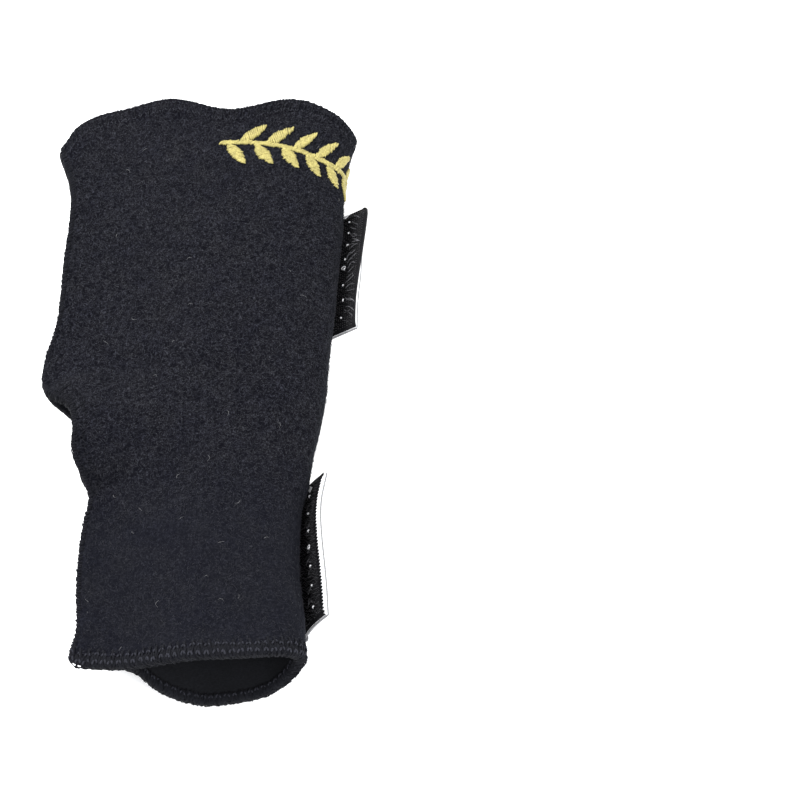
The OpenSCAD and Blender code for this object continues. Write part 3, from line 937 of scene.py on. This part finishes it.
def make_sprig():
    way = (SPRIG_TO - SPRIG_FROM) / np.linalg.norm(SPRIG_TO - SPRIG_FROM)
    side = np.array([-way[1], way[0]])
    length = np.linalg.norm(SPRIG_TO - SPRIG_FROM)

    def stem_point(t):
        bow = np.stack([0 * t, SPRIG_BOW * np.sin(2 * math.pi * t)], -1)
        return mix(SPRIG_FROM, SPRIG_TO, np.asarray(t)[..., None]) + bow

    t = np.arange(0, 1, STITCH / length)
    middle = stem_point(t)
    uneven = random.normal(0, 0.15, (2, len(t), 1))
    lean = 0.35 * way
    low = middle - side * (STEM_W / 2 + uneven[0]) - lean
    high = middle + side * (STEM_W / 2 + uneven[1]) + lean
    parts = [satin(low, high, 0.34)]
    for pair in range(LEAF_PAIRS):
        for hand in (-1, 1):
            leaf_way = way * math.cos(LEAF_LEAN) + hand * side * math.sin(LEAF_LEAN)
            leaf_side = np.array([-leaf_way[1], leaf_way[0]])
            place = (pair + 0.5 + 0.18 * hand) / LEAF_PAIRS
            root = stem_point(np.array(place)) + hand * side * (STEM_W / 2 - 0.1)
            f = np.arange(0.02, 0.98, STITCH / LEAF_L)
            half_w = 0.3 + (LEAF_W / 2 - 0.3) * np.sin(math.pi * f ** 0.8)
            uneven = random.normal(0, 0.15, (2, len(f)))
            spine = root + leaf_way * LEAF_L * f[:, None]
            lean = leaf_way * 0.5
            low = spine - leaf_side * (half_w + uneven[0])[:, None] - lean
            high = spine + leaf_side * (half_w + uneven[1])[:, None] + lean
            parts.append(satin(low, high, 0.42))
    add_piece("leaf_sprig_stitches", *joined(parts), "yellow_thread", node="leaf_sprig")


# ------------------------------------------------------------ nap and lint
NAP_V = (0.012, 0.985)  # the nap leaves the hems free


def fibres(count, u_range, length_mm, radius, lift, seed):
    """Short curly hairs that grow out of the cloth."""
    draw = np.random.default_rng(seed)
    u = draw.uniform(*u_range, count)
    v = draw.uniform(*NAP_V, count)
    root = at(u, v, np.full(count, 0.05))
    normal = outward(u, v)
    turn = draw.uniform(0, 2 * math.pi, count)
    first = normalised(np.cross(normal, [0.3, 1, 0.2]))
    second = np.cross(normal, first)
    way = first * np.cos(turn)[:, None] + second * np.sin(turn)[:, None]
    sideways = np.cross(normal, way)
    curl = draw.uniform(-0.9, 0.9, count)[:, None, None]
    long = draw.uniform(*length_mm, count)[:, None, None]
    high = draw.uniform(*lift, count)[:, None, None]
    s = np.linspace(0, 1, 4)[None, :, None]
    paths = (root[:, None] + long * (way[:, None] * (s - 0.5) * 0.9
             + sideways[:, None] * curl * (s - 0.5) ** 2 * 1.6)
             + normal[:, None] * high * np.sin(math.pi * (0.1 + 0.9 * s)))
    normals = np.broadcast_to(normal[:, None], paths.shape)
    return sweep(paths, normals, radius, radius, 3, taper=0.4)


def make_nap():
    tufts = (("front_nap", "nap_fibre", (9000, (0.004, 0.56), (0.9, 1.9), 0.034, (0.1, 0.42), 21)),
             ("back_nap", "nap_fibre", (6000, (0.56, 0.996), (0.9, 1.9), 0.034, (0.08, 0.2), 22)),
             ("lint", "lint_fibre", (34, (0.02, 0.5), (1.2, 2.6), 0.05, (0.2, 0.45), 25)))
    for name, look, settings in tufts:
        add_piece(name, *fibres(*settings), look)


# ------------------------------------------------------------ straps and tabs
STRAP_W = 42
HALF_W = STRAP_W / 2
FACE_T = 0.4
BEAD_R = FACE_T * 0.42  # half the height of a cut edge's pale bead
CORE_T = 1.0
TAPE_T = 0.6
TAB_CORE_T = 0.8
TAB_TOP = FACE_T + TAB_CORE_T + TAPE_T
TIP_L = 24
TIP_R = 6
TIP_INSET = 3           # from the tip's edge to its line of stitches
TIP_BACK = 2.8          # from the tip's fold to that line
TAB_ROOT = 2.4
TAB_Z = strap_t + strap_gap
BEND_R = 2.0            # radius of the tab's bend where it leaves its root
FOLD_Z = strap_t / 2
TIP_CLEAR = FOLD_Z + strap_gap
TOP_Z = FACE_T + CORE_T
UP = np.array([0, 0, 1.0])
HOOK_PITCH = 0.8
TOOTH_PITCH = 0.95
TIP_HOOK_PITCH = 1.05
STITCH_L = 1.8          # length of a running stitch
STITCH_STEP = 2.4       # from one running stitch to the next
STITCH_R = 0.16
HEM_INSET = 1.6         # from a strap's long edge to its line of stitches
# Tables follow the tab's width, from -21 at its wrist side to 21 at its hand side, but
# "lean" follows its slope: how far the tab is pulled towards the hand
STRAPS = {
    "upper": {"place": (35.2, 39.5, -4), "length": 72, "flare": 1.0, "corner": 3.4,
              "lean": [(-3, -1.1), (0, -0.74), (6, 0), (15, 1.1)],
              "rise": [(-21, 36.5), (0, 37.5), (21, 36)],
              "slope": [(-21, 13.6), (-11, 13.1), (0, 13.7), (12, 14.4), (21, 14.5)],
              "skin_back": [(-21, 0.1), (-4, 0.2), (5, 1.0), (21, 1.3)],
              "teeth": 0.0, "dots": 8.5, "knot": (6.4, 20.2), "ring": 4,
              "turns": (17.2, 13.2, 8.9, 4.0, 0.6, -5.1, -10.4, -16.4),
              "legs": 4.3, "every": 1.45, "zig": 0.3,
              "lift": [(-21, -2.5), (-9, -2.4), (-5, 1.5), (0, 2.4), (5, 2.2), (10, -1.5),
                       (15, -3.4), (21, -3)]},
    "lower": {"place": (30, -54.5, 2), "length": 55, "flare": 1.033, "corner": 0.4,
              "lean": [(-3, 0.2), (0, 0.6), (6, 2.2), (15, 2.8)],
              "rise": [(-21, 60.5), (-8, 64.5), (6, 67.5), (13, 65.3), (21, 57)],
              "slope": [(-21, 14.1), (-12, 14.7), (0, 14.3), (21, 13.8)],
              "skin_back": [(-21, -0.2), (0, -0.3), (21, 0)],
              "teeth": 1.5, "dots": 9.3, "knot": (8.8, 17.8), "ring": 3,
              "turns": (15.5, 10.1, 4.9, -0.2, -5.4, -11, -17.1),
              "legs": -3.6, "every": 1.9, "zig": 1.6, "lift": [(-21, -0.6), (21, 0.4)]}}


def in_frame(strap, x, y, z):
    """Points of a strap's own frame, in the CAD frame."""
    px, py, turn = strap["place"]
    c, s = math.cos(math.radians(turn)), math.sin(math.radians(turn))
    x, y, z = spread(x, y, z)
    return np.stack([px + c * x - s * y, py + s * x + c * y, z], -1)


def on_tab(strap, s, y, d):
    """A point s along the tab's slope, y across the strap and d above its lower face."""
    s, y, d = spread(s, y, d)
    rise = np.radians(on_curve(strap["rise"], y))
    lead = BEND_R * np.tan(rise / 2)
    run = s + lead
    angle = np.clip(run / BEND_R, 0, rise)
    past = np.maximum(run - BEND_R * rise, 0)
    before = np.minimum(run, 0)
    x = -lead + before + BEND_R * np.sin(angle) + past * np.cos(rise) - d * np.sin(angle)
    z = TAB_Z + BEND_R * (1 - np.cos(angle)) + past * np.sin(rise) + d * np.cos(angle)
    return in_frame(strap, x, y * strap["flare"] + on_curve(strap["lean"], s), z)


def tab_edge(strap, y):
    """How far up the slope the tab reaches, rounded at its hand-side corner."""
    r = strap["corner"]
    into = np.clip(y - (HALF_W - r), 0, r)
    corner = r - np.sqrt(np.maximum(r * r - into * into, 0))
    return on_curve(strap["slope"], y) - 0.6 * corner


def tape_end(strap, y):
    """The hook tape ends in fine teeth where it was cut."""
    teeth = np.abs((-y / TOOTH_PITCH) % 1 * 1.25 - 1) * strap["teeth"]
    return tab_edge(strap, y) - teeth


def skin_end(strap, y):
    return tab_edge(strap, y) - on_curve(strap["skin_back"], y)


def foam_end(strap, y):
    return tab_edge(strap, y) - 0.1


def tab_cut_edge(strap):
    """Pale beads along the tab's heat-cut edge and over the pressed foam of its sewn sides."""
    side = HALF_W - 0.02
    y = np.linspace(-side, side - 0.1, 60)
    runs = [(skin_end(strap, y), y, FACE_T / 2, 0.1, BEAD_R)]
    for y_side, height in ((-side, 0.4), (side - 0.1, 0.3)):
        y = np.full(24, y_side)
        s = mix(-1.5, skin_end(strap, y), np.linspace(0, 1, 24))
        runs.append((s, y, height - 0.02, 0.12, height))
    parts = []
    for s, y, d, width, height in runs:
        points = on_tab(strap, s, y, d)
        normals = normalised(on_tab(strap, s, y, d + 1) - points)
        parts.append(sweep(points[None], normals[None], width, height, 6, 0.9))
    return joined(parts)


def flat_cut_edge(strap, outline):
    """A pale bead along a line of (x, y) points on a flat strap."""
    points = in_frame(strap, *np.array(outline, float).T, FACE_T / 2)
    return sweep(points[None], UP, 0.1, BEAD_R, 6, 0.9)


def pressed(y):
    """How much thinner the tab is where its two sides are sewn down."""
    return 0.5 * (1 - ease((HALF_W - np.abs(y)) / 2.2))


def tab_slab(strap, d0, d1, ends, y_range, cols, rows, relief=0.0):
    """A layer of the tab between two depths, whose faces may end at different places."""
    y = np.linspace(*y_range, rows)[:, None]
    share = np.linspace(0, 1, cols)[None]
    low, high = (mix(-TAB_ROOT, end(strap, y), share) for end in ends)
    thin = np.where(d0 > FACE_T, pressed(y), 0)
    top = d1 + relief - np.where(d1 > FACE_T, pressed(y), 0)
    return shell(on_tab(strap, high, y, top), on_tab(strap, low, y, d0 - thin))


def hooks(roots, normals, ways, height, radius=0.085):
    """Little hooks that stand on a tape."""
    s = np.linspace(0, 1, 6)[None, :, None]
    bend = ways[:, None] * 0.34 * np.sin(math.pi * s * 0.9) * height / 0.4
    rise = normals[:, None] * height * np.sin(math.pi * np.minimum(s * 0.75, 0.62))
    paths = roots[:, None] + bend + rise
    across = np.cross(normals, ways)
    return sweep(paths, np.broadcast_to(across[:, None], paths.shape), radius, radius, 4, 0.9)


def tab_hooks(strap, name):
    draw = np.random.default_rng(len(name))
    rows = np.arange(-HALF_W + 1.4, HALF_W - 0.9, HOOK_PITCH)
    lines = np.arange(1.0, 14.6, HOOK_PITCH)
    y, s = (k.ravel() for k in np.meshgrid(rows, lines))
    keep = s < tape_end(strap, y) - 0.9
    y, s = y[keep], s[keep]
    y = y + draw.normal(0, 0.09, len(y))
    base = TAB_TOP - 0.3 - pressed(y)
    roots = on_tab(strap, s, y, base)
    normals = normalised(on_tab(strap, s, y, base + 1) - roots)
    way = normalised(on_tab(strap, s, y + 0.1, base) - roots)
    way = way * np.where(draw.random(len(y)) < 0.5, -1, 1)[:, None]
    return hooks(roots, normals, way, 0.34)


def tab_strands(strap, s, y, height, size):
    """Thread over the tab's tape, from arrays of places along and across it."""
    y = np.clip(y, -HALF_W + 0.7, HALF_W - 0.7)
    height = height - pressed(y)
    paths = on_tab(strap, s, y, height)
    normals = normalised(on_tab(strap, s, y, height + 1) - paths)
    return sweep(paths, normals, size, size * 0.85, 6)


def tab_legs(strap):
    """Thin curved legs of the zigzag seam, lying over the tape."""
    y = np.arange(HALF_W - 2.4, -HALF_W + 3.6, -strap["every"])[:, None]
    count = len(y)
    f = np.linspace(0, 1, 13)[None]
    first = random.uniform(0, 0.25, (count, 1))
    g = mix(first, first + random.uniform(0.45, 0.8, (count, 1)), f)
    lift = on_curve(strap["lift"], y) + strap["zig"] * (-1.0) ** np.arange(count)[:, None]
    bow = random.normal(0, 0.6, (count, 1)) * np.sin(math.pi * f)
    across = y + random.normal(0, 0.3, (count, 1)) + lift * g + bow
    s = strap["dots"] + random.normal(0, 0.3, (count, 1)) + strap["legs"] * g
    height = TAB_TOP - 0.12 + 0.28 * np.sin(math.pi * f) ** 0.6 + 0 * s
    return tab_strands(strap, s, across, height, 0.125)


def tab_turns(strap):
    """Silvery loops where the zigzag turns: one big ring, and a knot where it ends. Their pale
    colour partly paints glints on the stitches.
    """
    y = np.array(strap["turns"])[:, None]
    count = len(y)
    seam = strap["dots"] + random.normal(0, 0.3, (count, 1))
    g = np.linspace(0, 1, 9)[None]
    turn = random.uniform(0.1, 1.5, (count, 1))
    size = random.uniform(0.3, 0.8, (count, 1))
    s = seam - 0.1 + size * (g - 0.5) * np.cos(turn)
    height = TAB_TOP + 0.05 + 0.3 * np.sin(math.pi * g) + 0 * s
    loops = [tab_strands(strap, s, y + size * (g - 0.5) * np.sin(turn), height, 0.22)]
    round_ring = 2 * math.pi * g
    s = seam[strap["ring"]] - 0.5 + 0.75 * np.cos(round_ring)
    across = y[strap["ring"]] + 0.5 + 0.55 * np.sin(round_ring)
    loops.append(tab_strands(strap, s, across, TAB_TOP + 0.2 + 0 * s, 0.14))
    knot = random.uniform(-0.7, 0.7, (5, 2, 1))
    s = strap["knot"][0] + knot[:, 0] + 1.1 * (g - 0.5)
    across = strap["knot"][1] + knot[:, 1] + 0.9 * (g - 0.5) * np.array([-1, 1, -1, 1, 0])[:, None]
    loops.append(tab_strands(strap, s, across, TAB_TOP + 0.25 + 0 * s, 0.17))
    return joined(loops)


def make_tab(which, strap):
    prefix = which + "_tab_"
    skin = tab_slab(strap, 0, FACE_T, (skin_end, skin_end), (-HALF_W, HALF_W - 0.1), 28, 81)
    foam = tab_slab(strap, FACE_T, FACE_T + TAB_CORE_T, (skin_end, foam_end),
                    (-HALF_W + 0.12, HALF_W - 0.15), 28, 81)
    rows, cols = 481, 90
    y_range = (-HALF_W + 0.3, HALF_W - 0.05)
    y = np.linspace(*y_range, rows)[:, None]
    s = mix(-TAB_ROOT, tape_end(strap, y), np.linspace(0, 1, cols)[None])
    in_field = ease((tape_end(strap, y) - s - 0.5) / 0.4)
    ribs = 0.07 * np.cos(2 * math.pi * s / HOOK_PITCH) * in_field - 0.18 * in_field
    tape = tab_slab(strap, FACE_T + TAB_CORE_T, TAB_TOP - 0.12, (tape_end, tape_end), y_range,
                    cols, rows, ribs)
    add_piece(prefix + "hooks", *tab_hooks(strap, which), "moulded_hooks")
    for part, label, mesh, look in (("face", "skin", skin, "woven_skin"),
                                    ("core", "foam", foam, "white_foam"),
                                    ("tape", "hook_tape", tape, "hook_tape"),
                                    ("stitching", "zigzag", tab_legs(strap), "zigzag_thread")):
        add_piece(prefix + label, *mesh, look, node=prefix + part)
    add_piece(prefix + "needle_loops", *tab_turns(strap), "silver_thread")
    add_piece(prefix + "cut_edge", *tab_cut_edge(strap), "cut_edge")


def flat_slab(strap, x_range, half, z0, z1, cols, rows, top=0.0, under=0.0, soften=0.12):
    """A flat layer whose half width may follow a function of x; its long edges are eased."""
    x = np.linspace(*x_range, cols)[:, None]
    share = np.linspace(-1, 1, rows)[None]
    share = np.sign(share) * (1 - (1 - np.abs(share)) ** 1.25)
    y = share * half(x)
    near = np.minimum(half(x) - np.abs(y), 1.0)
    fall = soften * (1 - ease(near / 0.6))
    return shell(in_frame(strap, x, y, z1 - fall + top), in_frame(strap, x, y, z0 + fall + under))


def straight(inset=0.0):
    return lambda x: HALF_W - inset + 0 * x


def rounded_tip(end, inset=0.0):
    """Half width of a strap's tip whose corners are round."""
    def half(x):
        centre = end + TIP_R
        into = np.clip(centre - x, 0, TIP_R - inset)
        r = TIP_R - inset
        return HALF_W - TIP_R + np.sqrt(np.maximum(r * r - into * into, 0))
    return half


def stitch_line(strap, points, z):
    """Running stitches along a line of (x, y) points."""
    points = np.array(points, float)
    steps = np.linalg.norm(np.diff(points, axis=0), axis=1)
    run = np.r_[0, np.cumsum(steps)]
    f = np.linspace(0, 1, 7)[None]
    m = np.arange(0.3, run[-1] - STITCH_L, STITCH_STEP)[:, None] + STITCH_L * f
    x, y = (np.interp(m, run, points[:, axis]) for axis in (0, 1))
    paths = in_frame(strap, x, y, z + 0.14 * np.sin(math.pi * f) ** 0.6 - 0.08)
    return sweep(paths, UP, STITCH_R, STITCH_R * 0.8, 6)


def tip_hooks(strap, x_from, x_to, half):
    lines = np.arange(x_from + 0.9, x_to - 0.6, TIP_HOOK_PITCH)
    rows = np.arange(-HALF_W + 3, HALF_W - 2.9, TIP_HOOK_PITCH)
    x, y = (k.ravel() for k in np.meshgrid(lines, rows))
    keep = np.abs(y) < half(x) - 0.8
    x, y = x[keep], y[keep]
    roots = in_frame(strap, x, y, TOP_Z + 0.25)
    normals = np.broadcast_to(UP, roots.shape)
    way = normalised(in_frame(strap, x, y + 1, 0) - in_frame(strap, x, y, 0))
    way = way * np.where((np.arange(len(x)) // 2) % 2 == 0, 1, -1)[:, None]
    return hooks(roots, normals, way, 0.3, 0.1)


def make_strap(which, strap):
    """The band under the sleeve, from its fold line to its tip's fold line."""
    body = which + "_strap"
    start = -(strap["length"] - TIP_L - TIP_CLEAR)
    ends = (start, 0.0)
    cols, rows = int(-start / 0.5), 81
    weave = 0.03 * soft_noise((cols, rows), 0.8, 31)
    nap = 0.09 * soft_noise((cols, rows), 0.9, 32)
    skin = flat_slab(strap, ends, straight(), 0, FACE_T, cols, rows, 0.0, weave)
    foam = flat_slab(strap, ends, straight(0.15), FACE_T, TOP_Z, 40, 31)
    backing = flat_slab(strap, ends, straight(), TOP_Z, strap_t - 0.1, cols, rows, nap)
    for part, label, mesh, look in (("face", "skin", skin, "woven_skin"),
                                    ("core", "foam", foam, "white_foam"),
                                    ("backing", "backing", backing, "strap_loop")):
        add_piece(f"{body}_{label}", *mesh, look, body, f"{body}_{part}")
    lines = [[(x, side * (HALF_W - HEM_INSET)) for x in (start + 1, -1)] for side in (-1, 1)]
    stitches = joined([stitch_line(strap, line, z) for z in (strap_t - 0.1, 0.02)
                       for line in lines])
    add_piece(body + "_edge_stitches", *stitches, "strap_thread", body)
    cuts = joined([flat_cut_edge(strap, [(x, side * HALF_W) for x in np.linspace(start, -0.3, 40)])
                   for side in (-1, 1)])
    add_piece(body + "_cut_edges", *cuts, "cut_edge", body)
    add_piece(body + "_rolled_end", *fold_roll(strap), "woven_skin", body)
    gusset = flat_slab(strap, (-0.8, 0.9), straight(0.6), strap_t + 0.035, TAB_Z + 0.05, 6, 41)
    add_piece(which + "_fold_gusset", *gusset, "strap_thread")


def fold_roll(strap):
    """The band's rounded end, centred on the fold line so that it turns in place."""
    sides, rings = 20, 81
    angle = np.arange(sides) * 2 * math.pi / sides
    y = np.linspace(-HALF_W + 0.05, HALF_W - 0.05, rings)[:, None]
    ends = np.minimum(HALF_W - np.abs(y), 0.5) / 0.5
    r = FOLD_Z * (0.8 + 0.2 * ease(ends)) + 0.012 * np.sin(y * 7.5)
    points = in_frame(strap, r * np.cos(angle), y + 0 * angle, FOLD_Z + r * np.sin(angle))
    walls, near, far = tube_faces(rings, sides)
    return points.reshape(-1, 3), [walls[:, [0, 3, 2, 1]], near[:, ::-1], far[:, ::-1]]


def tip_outline(end, fold):
    """The line of stitches round the tip's hook tape, round at its two outer corners."""
    corner = end + TIP_R
    r = TIP_R - TIP_INSET
    turn = np.radians(np.arange(0, 91, 15))
    side = HALF_W - TIP_INSET
    return [(fold - TIP_BACK, side),
            *((corner - r * math.sin(k), HALF_W - TIP_R + r * math.cos(k)) for k in turn),
            *((corner - r * math.cos(k), -HALF_W + TIP_R - r * math.sin(k)) for k in turn),
            (fold - TIP_BACK, -side), (fold - TIP_BACK, side)]


def make_tip(which, strap):
    """The strap's free end with its patch of hook tape."""
    prefix, body = which + "_tip_", which + "_strap_tip"
    fold = -(strap["length"] - TIP_L)
    end = fold - TIP_L
    half = rounded_tip(end)
    patch = rounded_tip(end, 2)
    weave = 0.03 * soft_noise((61, 81), 0.8, 33)
    x_patch = (end + 2.0, fold - 2)
    skin = flat_slab(strap, (end + 0.01, fold), half, 0, FACE_T, 61, 81, 0.0, weave)
    foam = flat_slab(strap, (end + 0.15, fold), rounded_tip(end + 0.15, 0.15), FACE_T, TOP_Z,
                     40, 41)
    tape = flat_slab(strap, x_patch, patch, TOP_Z, strap_t - 0.3, 50, 81, 0.0, 0.0, 0.05)
    tape = joined([tape, tip_hooks(strap, *x_patch, patch)])
    for part, label, mesh, look in (("face", "skin", skin, "woven_skin"),
                                    ("core", "foam", foam, "white_foam"),
                                    ("hook_tape", "hooks", tape, "hook_tape")):
        add_piece(prefix + label, *mesh, look, body, prefix + part)
    x = end + TIP_L * (np.linspace(0, 1, 60) ** 2)
    y = half(x)
    rim_line = [*zip(x[::-1], y[::-1]), *zip(x, -y)]
    add_piece(prefix + "cut_edge", *flat_cut_edge(strap, rim_line), "cut_edge", body)
    outline = tip_outline(end, fold)
    stitches = joined([stitch_line(strap, outline, z) for z in (strap_t - 0.28, 0.02)])
    add_piece(prefix + "stitches", *stitches, "strap_thread", body)


def make_web(which, strap):
    """The stretch that bends between the strap and its tip, in the same three layers."""
    strap_body, body = which + "_strap", which + "_strap_tip"
    fold = -(strap["length"] - TIP_L)
    for label, z0, z1, look in (("skin", 0, FACE_T, "woven_skin"),
                                ("foam", FACE_T, TOP_Z, "white_foam"),
                                ("backing", TOP_Z, strap_t - 0.1, "strap_loop")):
        web = flat_slab(strap, (fold - 0.1, fold + TIP_CLEAR + 0.1), straight(0.02), z0 + 0.01,
                        z1 - 0.01, 13, 81)
        piece = add_piece(f"{which}_tip_web_{label}", *web, look, strap_body)
        piece.parent = None
        del piece["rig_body"]
        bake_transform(piece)


def make_straps():
    for which, strap in STRAPS.items():
        make_tab(which, strap)
        make_strap(which, strap)
        make_tip(which, strap)
        make_web(which, strap)


# ------------------------------------------------------------ the whole guard
make_camera()
make_stage()
make_materials()
outer, foam, inner = make_layers()
make_overlock()
make_sprig()
make_nap()
make_straps()
